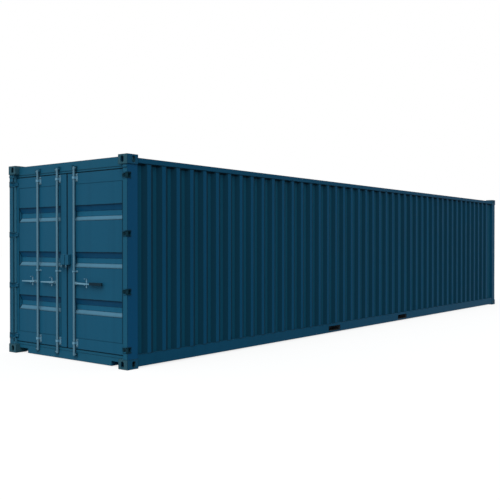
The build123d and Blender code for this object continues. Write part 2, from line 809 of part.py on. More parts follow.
tall_plate = ((-bracket_edge, -bearing_half),)
mid_plates = ((-bracket_edge, -bearing_half), (bearing_half, mid_bracket_wing))
for name, rods in (("left", ("left_outer", "left_inner")), ("right", ("right",))):
    with BuildPart() as brackets:
        for rod in rods:
            rod_y = rod_places[rod][0]
            for middle_z in bracket_heights:
                add(rod_bracket(rod_y, middle_z, tall_plate, bracket_height, bracket_ring_height))
            add(rod_bracket(rod_y, mid_bracket_z, mid_plates, mid_bracket_height, mid_bracket_height))
    save(brackets.part, f"{name}_rod_brackets")


# Handle catches: a plate on the leaf with a ledge under the handle and an arm over it
for name, rods, catch_offset in (("left_handle_catches", ("left_outer", "left_inner"), left_catch_offset),
                                 ("right_handle_catch", ("right",), right_catch_offset)):
    with BuildPart() as catches:
        for rod in rods:
            rod_y, sign = rod_places[rod]
            middle = rod_y + sign * catch_offset
            span = (middle - catch_width / 2, middle + catch_width / 2)
            seat_z = handle_z - handle_bar_height / 2 - catch_seat_gap
            arm_z = handle_z + handle_bar_height / 2 + catch_opening
            front = leaf_face_x - catch_reach
            low_z = arm_z + catch_ledge - catch_height
            add(box((leaf_face_x - bracket_plate, leaf_face_x), span, (low_z, arm_z + catch_ledge)))
            add(box((front, leaf_face_x), span, (seat_z - catch_ledge, seat_z)))
            add(box((front, leaf_face_x), span, (arm_z, arm_z + catch_ledge)))
    save(catches.part, name)


# Lock box: two hollow halves, open at the foot, with an ear that hangs from the front wall of each
box_front_x = leaf_face_x - lock_box_proud
ear_bottom = lock_box_bottom - lock_ear_drop
for name, near, far, ear_start in (
    ("lock_box", -lock_box_right_reach, -lock_box_half_gap, -lock_box_half_gap - lock_ear_width),
    ("left_lock_lug", lock_box_half_gap, lock_box_left_reach, lock_box_left_reach - lock_ear_width),
):
    with BuildPart() as half:
        add(box((box_front_x, leaf_face_x), (near, far), (lock_box_bottom, lock_box_top)))
        add(box((box_front_x + lock_box_wall, leaf_face_x - lock_box_wall),
                (near + lock_box_wall, far - lock_box_wall), (lock_box_bottom, lock_box_top - lock_box_wall)),
            mode=Mode.SUBTRACT)
        add(box((box_front_x, box_front_x + lock_ear_thickness), (ear_start, ear_start + lock_ear_width),
                (ear_bottom, lock_box_bottom)))
        with BuildSketch(Plane.YZ.offset(box_front_x)):
            with Locations((ear_start + lock_ear_width / 2, ear_bottom + lock_ear_drop / 2)):
                Circle(lock_eye_radius)
        extrude(amount=lock_ear_thickness, mode=Mode.SUBTRACT)
    save(half.part, name)
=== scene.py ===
# %% [markdown]
# # Dressing a forty foot freight container
# The container stands in the file already: every plate, rod and hinge has its real size and place.
# This lesson gives those pieces their paint, zinc, rubber and timber, and adds what is too fine
# for the construction itself: seals with lips, beads of sealer, bolts, floor panels and their
# screws. All lengths are in metres, X runs from the doors to the closed end, Y across, and Z up
# from the ground.

# %% Load the frame
import json
import math

import bmesh
import bpy
import numpy as np
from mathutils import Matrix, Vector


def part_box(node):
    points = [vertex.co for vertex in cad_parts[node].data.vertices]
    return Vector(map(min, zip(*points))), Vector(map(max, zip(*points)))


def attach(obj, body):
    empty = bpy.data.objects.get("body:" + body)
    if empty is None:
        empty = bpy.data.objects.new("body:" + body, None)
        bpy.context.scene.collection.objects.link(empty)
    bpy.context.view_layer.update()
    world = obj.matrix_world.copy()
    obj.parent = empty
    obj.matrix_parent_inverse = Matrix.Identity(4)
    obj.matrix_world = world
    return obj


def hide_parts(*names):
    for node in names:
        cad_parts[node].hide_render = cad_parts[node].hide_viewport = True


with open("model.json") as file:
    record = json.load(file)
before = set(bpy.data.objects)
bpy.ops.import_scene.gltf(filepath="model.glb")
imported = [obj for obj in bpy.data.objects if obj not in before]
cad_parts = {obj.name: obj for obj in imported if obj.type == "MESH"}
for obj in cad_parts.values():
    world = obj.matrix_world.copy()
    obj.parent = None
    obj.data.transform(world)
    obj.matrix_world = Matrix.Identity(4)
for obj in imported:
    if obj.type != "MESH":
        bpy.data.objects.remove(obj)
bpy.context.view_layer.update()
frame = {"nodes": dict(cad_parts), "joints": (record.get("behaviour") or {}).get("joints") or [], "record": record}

print("pieces in the frame:", len(frame["nodes"]))

# %% [markdown]
# ## Where things are
# A designer reads places from the frame instead of measuring twice. The doors' frames give the
# plane of the leaves, and the joints give the axis of every rod and the pivot of every handle.

# %% Places read from the frame
left_leaf_low, left_leaf_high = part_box("left_door_frame")
right_leaf_low, right_leaf_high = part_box("right_door_frame")
leaves = {"left": (left_leaf_low, left_leaf_high), "right": (right_leaf_low, right_leaf_high)}
side_signs = {"left": 1, "right": -1}
door_plane_x = -6.096
side_plane_y = 1.219
leaf_face_x = left_leaf_low.x
leaf_foot = left_leaf_low.z
leaf_top = left_leaf_high.z
joint_places = {joint["name"]: np.array(joint["pos_m"]) for joint in frame["joints"]}
rod_doors = {"left_outer": "left_door", "left_inner": "left_door", "right": "right_door"}
rod_axes = {name: joint_places[f"{name}_rod_turn"] for name in rod_doors}
handle_pivots = {name: joint_places[f"{name}_handle_lift"] for name in rod_doors}
print("leaf face at", round(leaf_face_x, 4))
print("rods at", [round(axis[1], 3) for axis in rod_axes.values()])

# %% [markdown]
# ## The camera
# A solved camera puts the corners of the container where the drawing has them. It stands low and
# to the side of the doors, looks along the container with a normal lens, and tilts down by half a
# degree.

# %% Camera
camera_place = (-12.0111, -7.7826, 1.5185)
camera_heading = math.radians(38.444)
camera_pitch = math.radians(-0.523)
camera_data = bpy.data.cameras.new("camera")
camera_data.sensor_width = 36
camera_data.lens = 52.66
camera_data.clip_end = 300
camera = bpy.data.objects.new("camera", camera_data)
camera.location = camera_place
camera.rotation_euler = (math.pi / 2 + camera_pitch, 0, camera_heading - math.pi / 2)
bpy.context.scene.collection.objects.link(camera)
bpy.context.scene.camera = camera
bpy.context.scene.view_settings.view_transform = "Standard"
print("camera distance to the doors:", round(-camera_place[0] + leaf_face_x, 2))

# %% [markdown]
# ## Shader sums written as Python
# A finish is a small calculation: noise times streaks, minus a bit at the edges. Dragging nodes
# hides that sum, so a thin class wraps a socket and turns Python's operators into Math nodes.
# Everything else comes from one method that takes a node's type, its settings and what goes into
# its sockets.

# %% The socket wrapper and the finish
class Value:
    """One output socket of a finish. Operators on it add Math nodes and give a new Value."""

    def __init__(self, finish, socket):
        self.finish = finish
        self.socket = socket

    def __add__(self, other):
        return self.finish.math("ADD", self, other)

    def __mul__(self, other):
        return self.finish.math("MULTIPLY", self, other)

    def __sub__(self, other):
        return self.finish.math("SUBTRACT", self, other)

    def __rsub__(self, other):
        return self.finish.math("SUBTRACT", other, self)

    def __abs__(self):
        return self.finish.math("ABSOLUTE", self)

    __radd__ = __add__
    __rmul__ = __mul__


class Finish:
    """The nodes that make one material, or one world."""

    def __init__(self, owner):
        self.owner = owner
        owner.use_nodes = True
        self.tree = owner.node_tree
        self.tree.nodes.clear()

    def node(self, kind, settings=None, inputs=None, out=0):
        """Adds a node: first its settings, then a value or a link for each named or numbered
        socket. It gives the output with the name or number out."""
        made = self.tree.nodes.new(kind)
        for key, value in (settings or {}).items():
            setattr(made, key, value)
        for key, value in (inputs or {}).items():
            if isinstance(value, Value):
                self.tree.links.new(value.socket, made.inputs[key])
            else:
                made.inputs[key].default_value = value
        return Value(self, made.outputs[out])

    def math(self, operation, *values):
        """One Math node on one or two values."""
        return self.node("ShaderNodeMath", {"operation": operation}, dict(enumerate(values)))

    def ramp(self, value, low, high):
        """0 where the value is at low, 1 where it is at high, straight between and held beyond."""
        return self.node("ShaderNodeMapRange", {"clamp": True}, {0: value, 1: low, 2: high})

    def noise(self, place, scale, detail=3.0, rough=0.5):
        """Cloudy noise from 0 to 1, with scale patches to the metre."""
        return self.node("ShaderNodeTexNoise", {}, {
            "Vector": place, "Scale": scale, "Detail": detail, "Roughness": rough})

    def stretched(self, place, scale):
        """The place times its own factor on each axis, which draws a pattern out along one."""
        return self.node("ShaderNodeMapping", {}, {"Vector": place, "Scale": scale})

    def blend(self, factor, first, second):
        """The first colour where the factor is 0, the second where it is 1."""
        return self.node("ShaderNodeMix", {"data_type": "RGBA"},
                         {0: factor, 6: first, 7: second}, out=2)

    def shade(self, colour, factor):
        """A colour made darker or lighter by a factor."""
        start = colour if isinstance(colour, Value) else colour[:3]
        return self.node("ShaderNodeVectorMath", {"operation": "SCALE"},
                         {0: start, "Scale": factor})

    def bump(self, height, distance, strength=1.0):
        """A normal tilted by a height pattern whose full swing is that many metres."""
        return self.node("ShaderNodeBump", {}, {
            "Height": height, "Distance": distance, "Strength": strength})

    def split(self, vector):
        """The three parts of a vector."""
        node = self.tree.nodes.new("ShaderNodeSeparateXYZ")
        self.tree.links.new(vector.socket, node.inputs[0])
        return [Value(self, socket) for socket in node.outputs]

    def end(self, shader, kind="ShaderNodeOutputMaterial"):
        """Links a shader to the output and gives the material or world that is now finished."""
        output = self.tree.nodes.new(kind)
        self.tree.links.new(shader.socket, output.inputs["Surface"])
        return self.owner

    def surface(self, **inputs):
        """Ends in one Principled shader; spaces in socket names are written as underscores."""
        sockets = {key.replace("_", " "): value for key, value in inputs.items()}
        return self.end(self.node("ShaderNodeBsdfPrincipled", {}, sockets))


def new_finish(name):
    """An empty material's finish."""
    return Finish(bpy.data.materials.new(name))


# %% [markdown]
# ## Edges
# Paint wears, and a drawing has its outlines, along edges; here edges and creases are also darkened
# as painted shade. A texture can't know where they are, but a Bevel node can: it gives the normal
# that a rounded edge would have, and where that disagrees with the flat one there is an edge
# within its radius.

# %% Edges found by a Bevel node
def edge_mask(finish, radius, sharp=0.90, smooth=0.995):
    """1 at an edge and 0 beyond the radius: how far the rounded normal turns away from the flat
    one. smooth is the agreement at which the mask begins, and sharp the one at which it is full,
    nearer to 1 for folds that are less than square."""
    rounded = finish.node("ShaderNodeBevel", {"samples": 6}, {"Radius": radius})
    flat = finish.node("ShaderNodeNewGeometry", out="Normal")
    agreement = finish.node("ShaderNodeVectorMath", {"operation": "DOT_PRODUCT"},
                            {0: rounded, 1: flat}, out=1)
    return finish.ramp(agreement, smooth, sharp)


# %% [markdown]
# ## Paint
# Container paint is a satin coat sprayed on blasted steel. Three things make it read as paint at
# this size: a slow change of tone from sheet to sheet, faint streaks that rain has drawn down the
# walls, and darker edges, partly rubbed by straps, hands and other containers and partly painted
# shade along edges and creases. Faces that look up, down, out or in, recesses and slopes can take
# other colours, and these are painted light and shade. One function makes every paint, because
# only the colours and the width of the edges differ. Each pair below is where a ramp begins and
# where it is full, and a swing is how far noise takes a value up and down together.

# %% The recipe for paint
rain_stretch = (7.0, 7.0, 0.3)
rain_marks = (0.52, 0.75)
rain_fade = 0.08
cloud_swing = 0.16
speckle_swing = 0.05
gloss_swing = 0.16
edge_gloss = 0.1
peel_share = 0.02
not_square = (0.97, 0.93)
looks_out = (0.5, 1.0)
looks_in = (-0.5, -1.0)
looks_up = (0.2, 0.5)
looks_down = (-0.2, -0.5)
# The painted shadow under the top rail: at what depth of a recess it begins and is full, how far it fades in
# height, and how dark it goes.
shadow_depth = (0.2, 0.5)
shadow_fade = 0.008
shadow_darkness = 0.7


def paint(name, colour, recess=None, slopes=None, eaves=None, lit_above=None, shaded_below=None,
          outward=None, reveal=None, edge=(0.009, 0.55, 0.88), roughness=0.5, gloss=0.05):
    """Satin paint in one colour, with other colours on some faces: a painted highlight on faces that
    look up, painted shade on faces that look down, painted shade on faces that look out over the long
    sides, and painted light on faces that look across to the middle. A recess is (axis, from, to,
    colour), and slopes are (axis, colour), for faces that aren't square to that axis; the colour of a
    recess is painted shade in the walls and painted light on the door panels, and that of slopes is
    painted shade. eaves are the height above which a recess is painted black as the shadow under the
    rail. edge is the dark line's radius, depth and sharpness: painted shade at edges and creases,
    with some rubbed wear."""
    finish = new_finish(name)
    place = finish.node("ShaderNodeTexCoord", out="Object")
    normal = finish.split(finish.node("ShaderNodeTexCoord", out="Normal"))
    cloud = finish.noise(place, scale=0.8, detail=4.0)
    streak = finish.noise(finish.stretched(place, rain_stretch), scale=1.0, detail=4.0)
    speckle = finish.noise(place, scale=45.0)
    radius, darkness, sharp = edge
    # Painted shade at edges and creases, with some rubbed wear: the dark line.
    edge_shade = edge_mask(finish, radius, sharp) * darkness
    across = normal[1] * finish.split(place)[1]
    tone = (1.0 + (cloud - 0.5) * cloud_swing - finish.ramp(streak, *rain_marks) * rain_fade
            + (speckle - 0.5) * speckle_swing)
    tint = finish.shade(colour, 1.0)
    # The recess colour is painted shade in the troughs of the walls and painted light on the flats of the door
    # panels.
    if recess:
        axis, start, stop, deep = recess
        depth = finish.ramp(abs(finish.split(place)["xyz".index(axis)]), start, stop)
        tint = finish.blend(depth, tint, deep)
        # Painted shadow: the recess goes black under the top rail.
        if eaves:
            under_eaves = finish.ramp(finish.split(place)[2], eaves, eaves + shadow_fade)
            painted_shadow = under_eaves * finish.ramp(depth, *shadow_depth)
            tone = tone * (1.0 - painted_shadow * shadow_darkness)
    # Painted shade on the slopes of the corrugation.
    if slopes:
        axis, slanted = slopes
        slant = finish.ramp(abs(normal["xyz".index(axis)]), *not_square)
        tint = finish.blend(slant, tint, slanted)
    # Painted shade on faces that look out over the long sides.
    if outward:
        tint = finish.blend(finish.ramp(across, *looks_out), tint, outward)
    # Painted light on faces that look across to the middle, which lie in shade.
    if reveal:
        tint = finish.blend(finish.ramp(across, *looks_in), tint, reveal)
    # Painted highlight on faces that look up.
    if lit_above:
        tint = finish.blend(finish.ramp(normal[2], *looks_up), tint, lit_above)
    # Painted shade on faces that look down.
    if shaded_below:
        tint = finish.blend(finish.ramp(normal[2], *looks_down), tint, shaded_below)
    tint = finish.shade(tint, tone * (1.0 - edge_shade))
    peel = finish.noise(place, scale=260.0, detail=2.0)
    waviness = finish.noise(place, scale=2.2, detail=1.0)
    relief = finish.bump(waviness + peel * peel_share, distance=0.004, strength=0.5)
    matt = roughness + (cloud - 0.5) * gloss_swing + edge_shade * edge_gloss
    return finish.surface(Base_Color=tint, Roughness=matt, Normal=relief, Specular_IOR_Level=gloss)


# %% [markdown]
# ## The paints of this container
# It is one blue, and each group of pieces has its own colours, for weather and for painted light
# and shade. The long walls have painted shade on the slopes of their waves and in the troughs, and
# painted shadow in the troughs under the top rail; the doors have a painted highlight on faces that
# look up, painted shade on faces that look down and painted light on the flats of the panels; the
# frame round the doors has painted light on the faces that look into the doorway and painted shade
# on those that look out; and the castings have lost some of their paint and have painted shade on
# the faces that look out. The pairs of planes say where a recess begins and where it is full, and
# each edge is a radius, a depth and a sharpness.

# %% Colours of the paints
hull_colour = (0.0022, 0.057, 0.133, 1.0)
rail_colour = (0.0046, 0.058, 0.115, 1.0)
crest_colour = (0.0037, 0.0585, 0.124, 1.0)
# Painted shade for the troughs of the corrugated walls.
shaded_trough_colour = (0.0035, 0.054, 0.098, 1.0)
# Painted shade for the slopes of the corrugated walls.
shaded_slope_colour = (0.0030, 0.0315, 0.0575, 1.0)
casting_colour = (0.0240, 0.084, 0.115, 1.0)
roof_colour = (0.012, 0.068, 0.130, 1.0)
grease_colour = (0.006, 0.030, 0.045, 1.0)
front_colour = (0.0095, 0.085, 0.148, 1.0)
# Painted light for the inner faces of the door frame.
lit_reveal_colour = (0.047, 0.195, 0.296, 1.0)
door_colour = (0.0085, 0.083, 0.152, 1.0)
# Painted light for the flats of the door panels, which lie in shade.
lit_flat_colour = (0.0105, 0.102, 0.185, 1.0)
# Painted highlight for the faces of the doors that look up.
highlight_colour = (0.062, 0.166, 0.245, 1.0)
shadow_colour = (0.0020, 0.072, 0.174, 1.0)

# %% Edges and planes of the paints
fold_edge = (0.010, 0.50, 0.965)
trough_edge = (0.012, 0.88, 0.940)
corner_edge = (0.012, 0.60, 0.88)
wave_edge = (0.004, 0.40, 0.965)
hinge_edge = (0.005, 0.5, 0.88)
side_skin_y = 1.203
side_trough_y = 1.167
end_skin_x = 6.080
end_trough_x = 6.035
leaf_skin_x = 6.022
leaf_flat_x = 5.998
# Painted shadow under the top rail begins this far below it.
eaves_shadow = 0.032
eaves_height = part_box("left_top_side_rail")[0].z - eaves_shadow
print("dirt under the eaves begins at", round(eaves_height, 3))

# %% Paints
hull_paint = paint("hull paint", rail_colour, gloss=0.025)
# Painted shade on the faces of the castings that look out over the long sides.
casting_paint = paint("casting paint", casting_colour, outward=rail_colour, edge=corner_edge)
# Painted shade in the troughs, on the slopes and under the top rail.
wall_paint = paint("side wall paint", crest_colour, edge=wave_edge, gloss=0.03, roughness=0.6,
                   eaves=eaves_height, slopes=("y", shaded_slope_colour),
                   recess=("y", side_skin_y, side_trough_y, shaded_trough_colour))
# Painted shade in the troughs, on the slopes and under the top rail.
end_wall_paint = paint("end wall paint", crest_colour, edge=wave_edge, gloss=0.03, roughness=0.6,
                       eaves=eaves_height, slopes=("x", shaded_slope_colour),
                       recess=("x", end_skin_x, end_trough_x, shaded_trough_colour))
# Painted highlight on the roof's faces that look up.
roof_paint = paint("roof paint", hull_colour, lit_above=roof_colour, edge=fold_edge, roughness=0.58)
# Painted light on the faces that look into the doorway, painted shade on those that look out over the long sides.
front_paint = paint("door end paint", front_colour, reveal=lit_reveal_colour, outward=hull_colour,
                    edge=corner_edge)
# Painted highlight on faces that look up, painted shade on faces that look down.
door_paint = paint("door paint", door_colour, lit_above=highlight_colour, shaded_below=shadow_colour)
# Painted light on the flats of the panels' recesses.
panel_paint = paint("door panel paint", door_colour, lit_above=highlight_colour, shaded_below=shadow_colour,
                    edge=trough_edge, recess=("x", leaf_skin_x, leaf_flat_x, lit_flat_colour))
hinge_paint = paint("hinge paint", grease_colour, edge=hinge_edge, gloss=0.02)
print("materials in the file, with those of the frame:", len(bpy.data.materials))

# %% [markdown]
# ## Zinc, rubber, timber and the coat under the floor
# The locking gear is hot dipped: zinc freezes in patches, a spangle that a cell pattern gives. The
# seals are matt rubber. The floor is plywood, whose grain is noise drawn out along the container,
# and below it the steel has a thick dark coat that is brushed on and hides every edge.

# %% Zinc and rubber
def zinc(name, colour, roughness=0.42, cell_swing=0.16, tone_swing=0.25, edge_shade_depth=0.35):
    """Hot dipped steel: cells of slightly different tone and gloss, and painted shade at edges."""
    finish = new_finish(name)
    place = finish.node("ShaderNodeTexCoord", out="Object")
    spangle = finish.node("ShaderNodeTexVoronoi", {}, {"Vector": place, "Scale": 90.0}, out="Color")
    patch = finish.split(spangle)[0]
    cloud = finish.noise(place, scale=6.0, detail=4.0)
    edge = edge_mask(finish, 0.003)
    tone = 1.0 + (patch - 0.5) * cell_swing + (cloud - 0.5) * tone_swing
    # Painted shade: darker at edges and in creases.
    tone = tone * (1.0 - edge * edge_shade_depth)
    tint = finish.shade(colour, tone)
    return finish.surface(Base_Color=tint, Roughness=roughness + (patch - 0.5) * 0.12,
                          Metallic=0.45, Normal=finish.bump(cloud, distance=0.0006),
                          Specular_IOR_Level=0.4)


def rubber(name, colour):
    """Matt rubber with a dusty bloom."""
    finish = new_finish(name)
    place = finish.node("ShaderNodeTexCoord", out="Object")
    bloom = finish.noise(place, scale=9.0, detail=5.0)
    grain = finish.noise(place, scale=900.0, detail=2.0)
    tint = finish.shade(colour, 0.8 + bloom * 0.5)
    return finish.surface(Base_Color=tint, Roughness=0.72 + (bloom - 0.5) * 0.2,
                          Normal=finish.bump(grain, distance=0.0002), Specular_IOR_Level=0.08)


# %% Timber and the coat under the floor
dark_grain = (0.13, 0.062, 0.026, 1.0)
light_grain = (0.27, 0.145, 0.068, 1.0)
worn_grey = (0.10, 0.085, 0.07, 1.0)
road_dust = (0.05, 0.045, 0.038, 1.0)
grain_marks = (0.35, 0.68)
scuff_marks = (0.5, 0.75)
dust_marks = (0.45, 0.8)


def timber(name):
    """Plywood with its face grain along X: noise drawn out forty times, over wider bands."""
    finish = new_finish(name)
    place = finish.node("ShaderNodeTexCoord", out="Object")
    grain = finish.noise(finish.stretched(place, (1.6, 60.0, 60.0)), scale=1.0, detail=6.0,
                         rough=0.65)
    band = finish.noise(finish.stretched(place, (0.5, 7.0, 7.0)), scale=1.0)
    scuff = finish.noise(place, scale=3.0, detail=5.0)
    tint = finish.blend(finish.ramp(grain, *grain_marks), dark_grain, light_grain)
    tint = finish.blend(finish.ramp(scuff, *scuff_marks) * 0.5, tint, worn_grey)
    tint = finish.shade(tint, 0.8 + band * 0.4)
    return finish.surface(Base_Color=tint, Roughness=0.55 + scuff * 0.25,
                          Normal=finish.bump(grain, distance=0.0006))


def coat(name, colour):
    """A thick brushed coat: lumpy, matt and nearly even."""
    finish = new_finish(name)
    place = finish.node("ShaderNodeTexCoord", out="Object")
    lumps = finish.noise(place, scale=30.0, detail=4.0)
    dust = finish.noise(place, scale=1.5, detail=4.0)
    tint = finish.blend(finish.ramp(dust, *dust_marks) * 0.4, colour, road_dust)
    return finish.surface(Base_Color=finish.shade(tint, 0.8 + lumps * 0.4), Roughness=0.8,
                          Normal=finish.bump(lumps, distance=0.0015))


# %% The other finishes
gear_zinc = zinc("gear zinc", (0.115, 0.270, 0.375, 1.0))
rod_zinc = zinc("rod zinc", (0.075, 0.180, 0.250, 1.0))
bolt_zinc = zinc("bolt zinc", (0.09, 0.19, 0.25, 1.0), roughness=0.38)
seal_rubber = rubber("seal rubber", (0.006, 0.008, 0.010, 1.0))
grip_paint = rubber("grip sleeve", (0.004, 0.020, 0.034, 1.0))
liner_plastic = rubber("bearing liner", (0.02, 0.05, 0.065, 1.0))
seam_sealer = rubber("seam sealer", (0.0030, 0.048, 0.088, 1.0))
# Dark sealer; on the upright seams of the leaves and inside the door posts its darkness is painted shade.
dark_sealer_and_shade = rubber("dark sealer", (0.0020, 0.022, 0.040, 1.0))
floor_timber = timber("floor plywood")
underbody_coat = coat("underbody coat", (0.012, 0.020, 0.026, 1.0))
print("materials in the file, with those of the frame:", len(bpy.data.materials))

# %% [markdown]
# ## Finishes for the pieces of the frame
# The record of the model names a material slot for each piece. Most pieces take the finish of
# their slot, and a few need their own: the corrugated walls have painted shade in their recesses,
# and the frame round the doors has the paint of the door end, with its painted light and shade. The
# hinge lugs and the blades of the right leaf are dark with grease.

# %% Give every piece its finish
slot_finish = {
    "hull_paint": hull_paint,
    "door_paint": door_paint,
    "underbody_paint": underbody_coat,
    "galvanised": gear_zinc,
    "seal": seal_rubber,
    "grip": grip_paint,
    "timber": floor_timber,
}
own_finish = {
    "door_header": front_paint,
    "door_sill": front_paint,
    "left_door_post": front_paint,
    "right_door_post": front_paint,
    "header_keepers": front_paint,
    "sill_keepers": front_paint,
    "bottom_corner_castings": casting_paint,
    "top_corner_castings": casting_paint,
    "left_door_panel": panel_paint,
    "right_door_panel": panel_paint,
    "left_side_wall": wall_paint,
    "right_side_wall": wall_paint,
    "front_wall": end_wall_paint,
    "roof": roof_paint,
    "door_hinge_lugs": hinge_paint,
    "right_hinge_blades": hinge_paint,
    "left_outer_lock_rod": rod_zinc,
    "left_inner_lock_rod": rod_zinc,
    "right_lock_rod": rod_zinc,
}
piece_slot = {part["node"]: part["material_slot"] for part in frame["record"]["subparts"]}
for node_name, piece in frame["nodes"].items():
    finish_material = own_finish.get(node_name) or slot_finish[piece_slot[node_name]]
    if not piece.material_slots:
        piece.data.materials.append(finish_material)
    for material_slot in piece.material_slots:
        material_slot.material = finish_material
print("finishes given to", len(frame["nodes"]), "pieces")

# %% [markdown]
# ## Turned shapes
# Every added piece is a closed surface worked out with numpy. A shape is a pair: its points, and a
# list of face tables that number them. Washers, studs and pins come from a lathe, so here too each
# is a profile carried round an axis. A profile that begins and ends at the small radius of the pole
# is closed by a face there.

# %% Turned shapes
pole = 0.0005


def ring_faces(rows, columns, looped=False):
    """Quads of a grid that is closed round its columns. Its rows either loop back to the first
    one, or end in a many sided face at each end."""
    row, column = np.meshgrid(np.arange(rows if looped else rows - 1), np.arange(columns),
                              indexing="ij")
    after = (column + 1) % columns
    below = (row + 1) % rows
    quads = np.stack([row * columns + column, row * columns + after,
                      below * columns + after, below * columns + column], axis=-1).reshape(-1, 4)
    first = np.arange(columns)[None, ::-1]
    last = first[:, ::-1] + (rows - 1) * columns
    return [quads] if looped else [quads, first, last]


def turned(profile, sides, looped=False):
    """A turned shape about Z: each (radius, height) of the profile is a ring of that many sides.
    A looped profile makes a ring with a hole."""
    profile = np.asarray(profile, float)
    angle = np.arange(sides) * 2 * np.pi / sides
    points = np.stack([profile[:, :1] * np.cos(angle), profile[:, :1] * np.sin(angle),
                       np.repeat(profile[:, 1:], sides, axis=1)], axis=-1)
    return points.reshape(-1, 3), ring_faces(len(profile), sides, looped)


print("quads round a grid of 4 by 8:", len(ring_faces(4, 8)[0]))

# %% [markdown]
# ## Copies and blocks
# Pieces that repeat are one shape, copied to many places in one sum. A sawn panel or a pad of steel
# has no razor edge, so a block is a stack of four outlines with cut corners, of which the lowest
# and the highest are drawn in.

# %% Copies and blocks
def copies(table, count, step):
    """A face table repeated for that many copies whose points are numbered a step apart."""
    return (table[None] + np.arange(count)[:, None, None] * step).reshape(-1, table.shape[1])


def scatter(shape, places, turn=np.eye(3)):
    """One shape turned by a matrix and copied to every place."""
    points, faces = shape
    places = np.atleast_2d(np.asarray(places, float))
    spread = (points @ np.asarray(turn, float).T)[None] + places[:, None]
    return spread.reshape(-1, 3), [copies(table, len(places), len(points)) for table in faces]


def facing(direction):
    """The matrix that turns a shape made about Z to face along a level direction."""
    out = np.array([direction[0], direction[1], 0.0]) / np.hypot(direction[0], direction[1])
    up = np.array([0.0, 0.0, 1.0])
    return np.stack([np.cross(up, out), up, out], axis=1)


def blocks(lows, highs, edge):
    """Blocks with chamfered edges. Each is four outlines of eight points: at its foot and top the
    outline is drawn in by the edge, and between them it has its full size with cut corners."""
    lows = np.atleast_2d(np.asarray(lows, float))
    highs = np.atleast_2d(np.asarray(highs, float))
    inset = np.array([edge, 0.0, 0.0, edge])
    height = np.array([[0, 0.0], [0, edge], [1, -edge], [1, 0.0]])
    corner = np.array([[0, 0, 1, 0], [1, 0, -1, 0], [1, 0, 0, 1], [1, 1, 0, -1],
                       [1, 1, -1, 0], [0, 1, 1, 0], [0, 1, 0, -1], [0, 0, 0, 1]], float)
    size = highs - lows
    flat = lows[:, None, None, :2] + corner[None, None, :, :2] * size[:, None, None, :2]
    flat = flat + edge * corner[None, None, :, 2:]
    middle = (lows[:, None, None, :2] + highs[:, None, None, :2]) / 2
    flat = flat - np.sign(flat - middle) * inset[None, :, None, None]
    level = lows[:, None, 2:] + height[None, :, :1] * size[:, None, 2:] + height[None, :, 1:]
    level = np.broadcast_to(level[:, :, None, :], flat.shape[:3] + (1,))
    shape = np.concatenate([flat, level], axis=-1)
    rows, columns = len(height), len(corner)
    faces = [copies(table, len(lows), rows * columns) for table in ring_faces(rows, columns)]
    return shape.reshape(-1, 3), faces


to_doors = facing((-1, 0))
print("a bolt's own up turns to", (to_doors @ (0.0, 0.0, 1.0)).round(3))

# %% [markdown]
# ## From shapes to a piece
# Joined shapes become one object that stays at the origin, with its place in its mesh, because the
# export expects that of every piece. It rides on a body of the frame, so that it moves with a door
# or a rod, and it takes its finish.

# %% Make a piece
merge_distance = 1e-6
smooth_angle = math.radians(35.0)


def put(name, shapes, body, material):
    """Joins shapes into one object that rides on a body, with its faces outwards and its doubled
    points merged. Edges that turn by more than the smooth angle stay sharp."""
    points = np.concatenate([shape[0] for shape in shapes])
    tables = []
    start = 0
    for shape_points, shape_faces in shapes:
        tables += [table + start for table in shape_faces]
        start += len(shape_points)
    mesh = bpy.data.meshes.new(name)
    mesh.from_pydata(points.tolist(), [], [face for table in tables for face in table.tolist()])
    work = bmesh.new()
    work.from_mesh(mesh)
    bmesh.ops.remove_doubles(work, verts=work.verts, dist=merge_distance)
    bmesh.ops.recalc_face_normals(work, faces=work.faces)
    work.to_mesh(mesh)
    work.free()
    mesh.polygons.foreach_set("use_smooth", np.ones(len(mesh.polygons), bool))
    mesh.set_sharp_from_angle(angle=smooth_angle)
    mesh.materials.append(material)
    piece = bpy.data.objects.new(name, mesh)
    bpy.context.scene.collection.objects.link(piece)
    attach(piece, body)
    print(name, "has", sum(len(face.vertices) - 2 for face in mesh.polygons), "triangles")
    return piece


# %% [markdown]
# ## Door seals
# Each leaf has a rubber seal all round its edge, with two soft lips and a groove between them. It
# is one rectangle that grows and shrinks as it goes back through the door: the profile gives how
# far the lip stands out at each depth, and the four corners follow. The plain solids in the frame
# are replaced.

# %% Seals
seal_setback = 0.010
seal_root = -0.003
seal_profile = np.array([
    [0.000, -0.001], [0.001, 0.003], [0.004, 0.0075], [0.007, 0.0085], [0.010, 0.006],
    [0.014, 0.0025], [0.018, 0.0020], [0.022, 0.0030], [0.026, 0.0065], [0.029, 0.0080],
    [0.032, 0.0055], [0.034, -0.001],
])


def seal(low, high):
    """A rectangle of four corners at each depth of the profile, grown by the lip, and then a
    smaller one at the back and at the front that closes the ring inside the door."""
    root = np.array([[seal_profile[-1, 0], seal_root], [seal_profile[0, 0], seal_root]])
    profile = np.concatenate([seal_profile, root])
    corner = np.array([[-1, -1], [1, -1], [1, 1], [-1, 1]])
    middle = (np.array(low) + np.array(high))[1:] / 2
    half = (np.array(high) - np.array(low))[1:] / 2
    flat = middle + corner[None] * (half + profile[:, 1][:, None, None])
    depth = (low[0] + seal_setback + profile[:, 0])[:, None, None]
    depth = np.broadcast_to(depth, flat.shape[:2] + (1,))
    return (np.concatenate([depth, flat], axis=-1).reshape(-1, 3),
            ring_faces(len(profile), 4, looped=True))


for side, (low, high) in leaves.items():
    door_seal = put(f"{side}_door_seal", [seal(low, high)], f"{side}_door", seal_rubber)
    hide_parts(f"{side}_door_gasket")

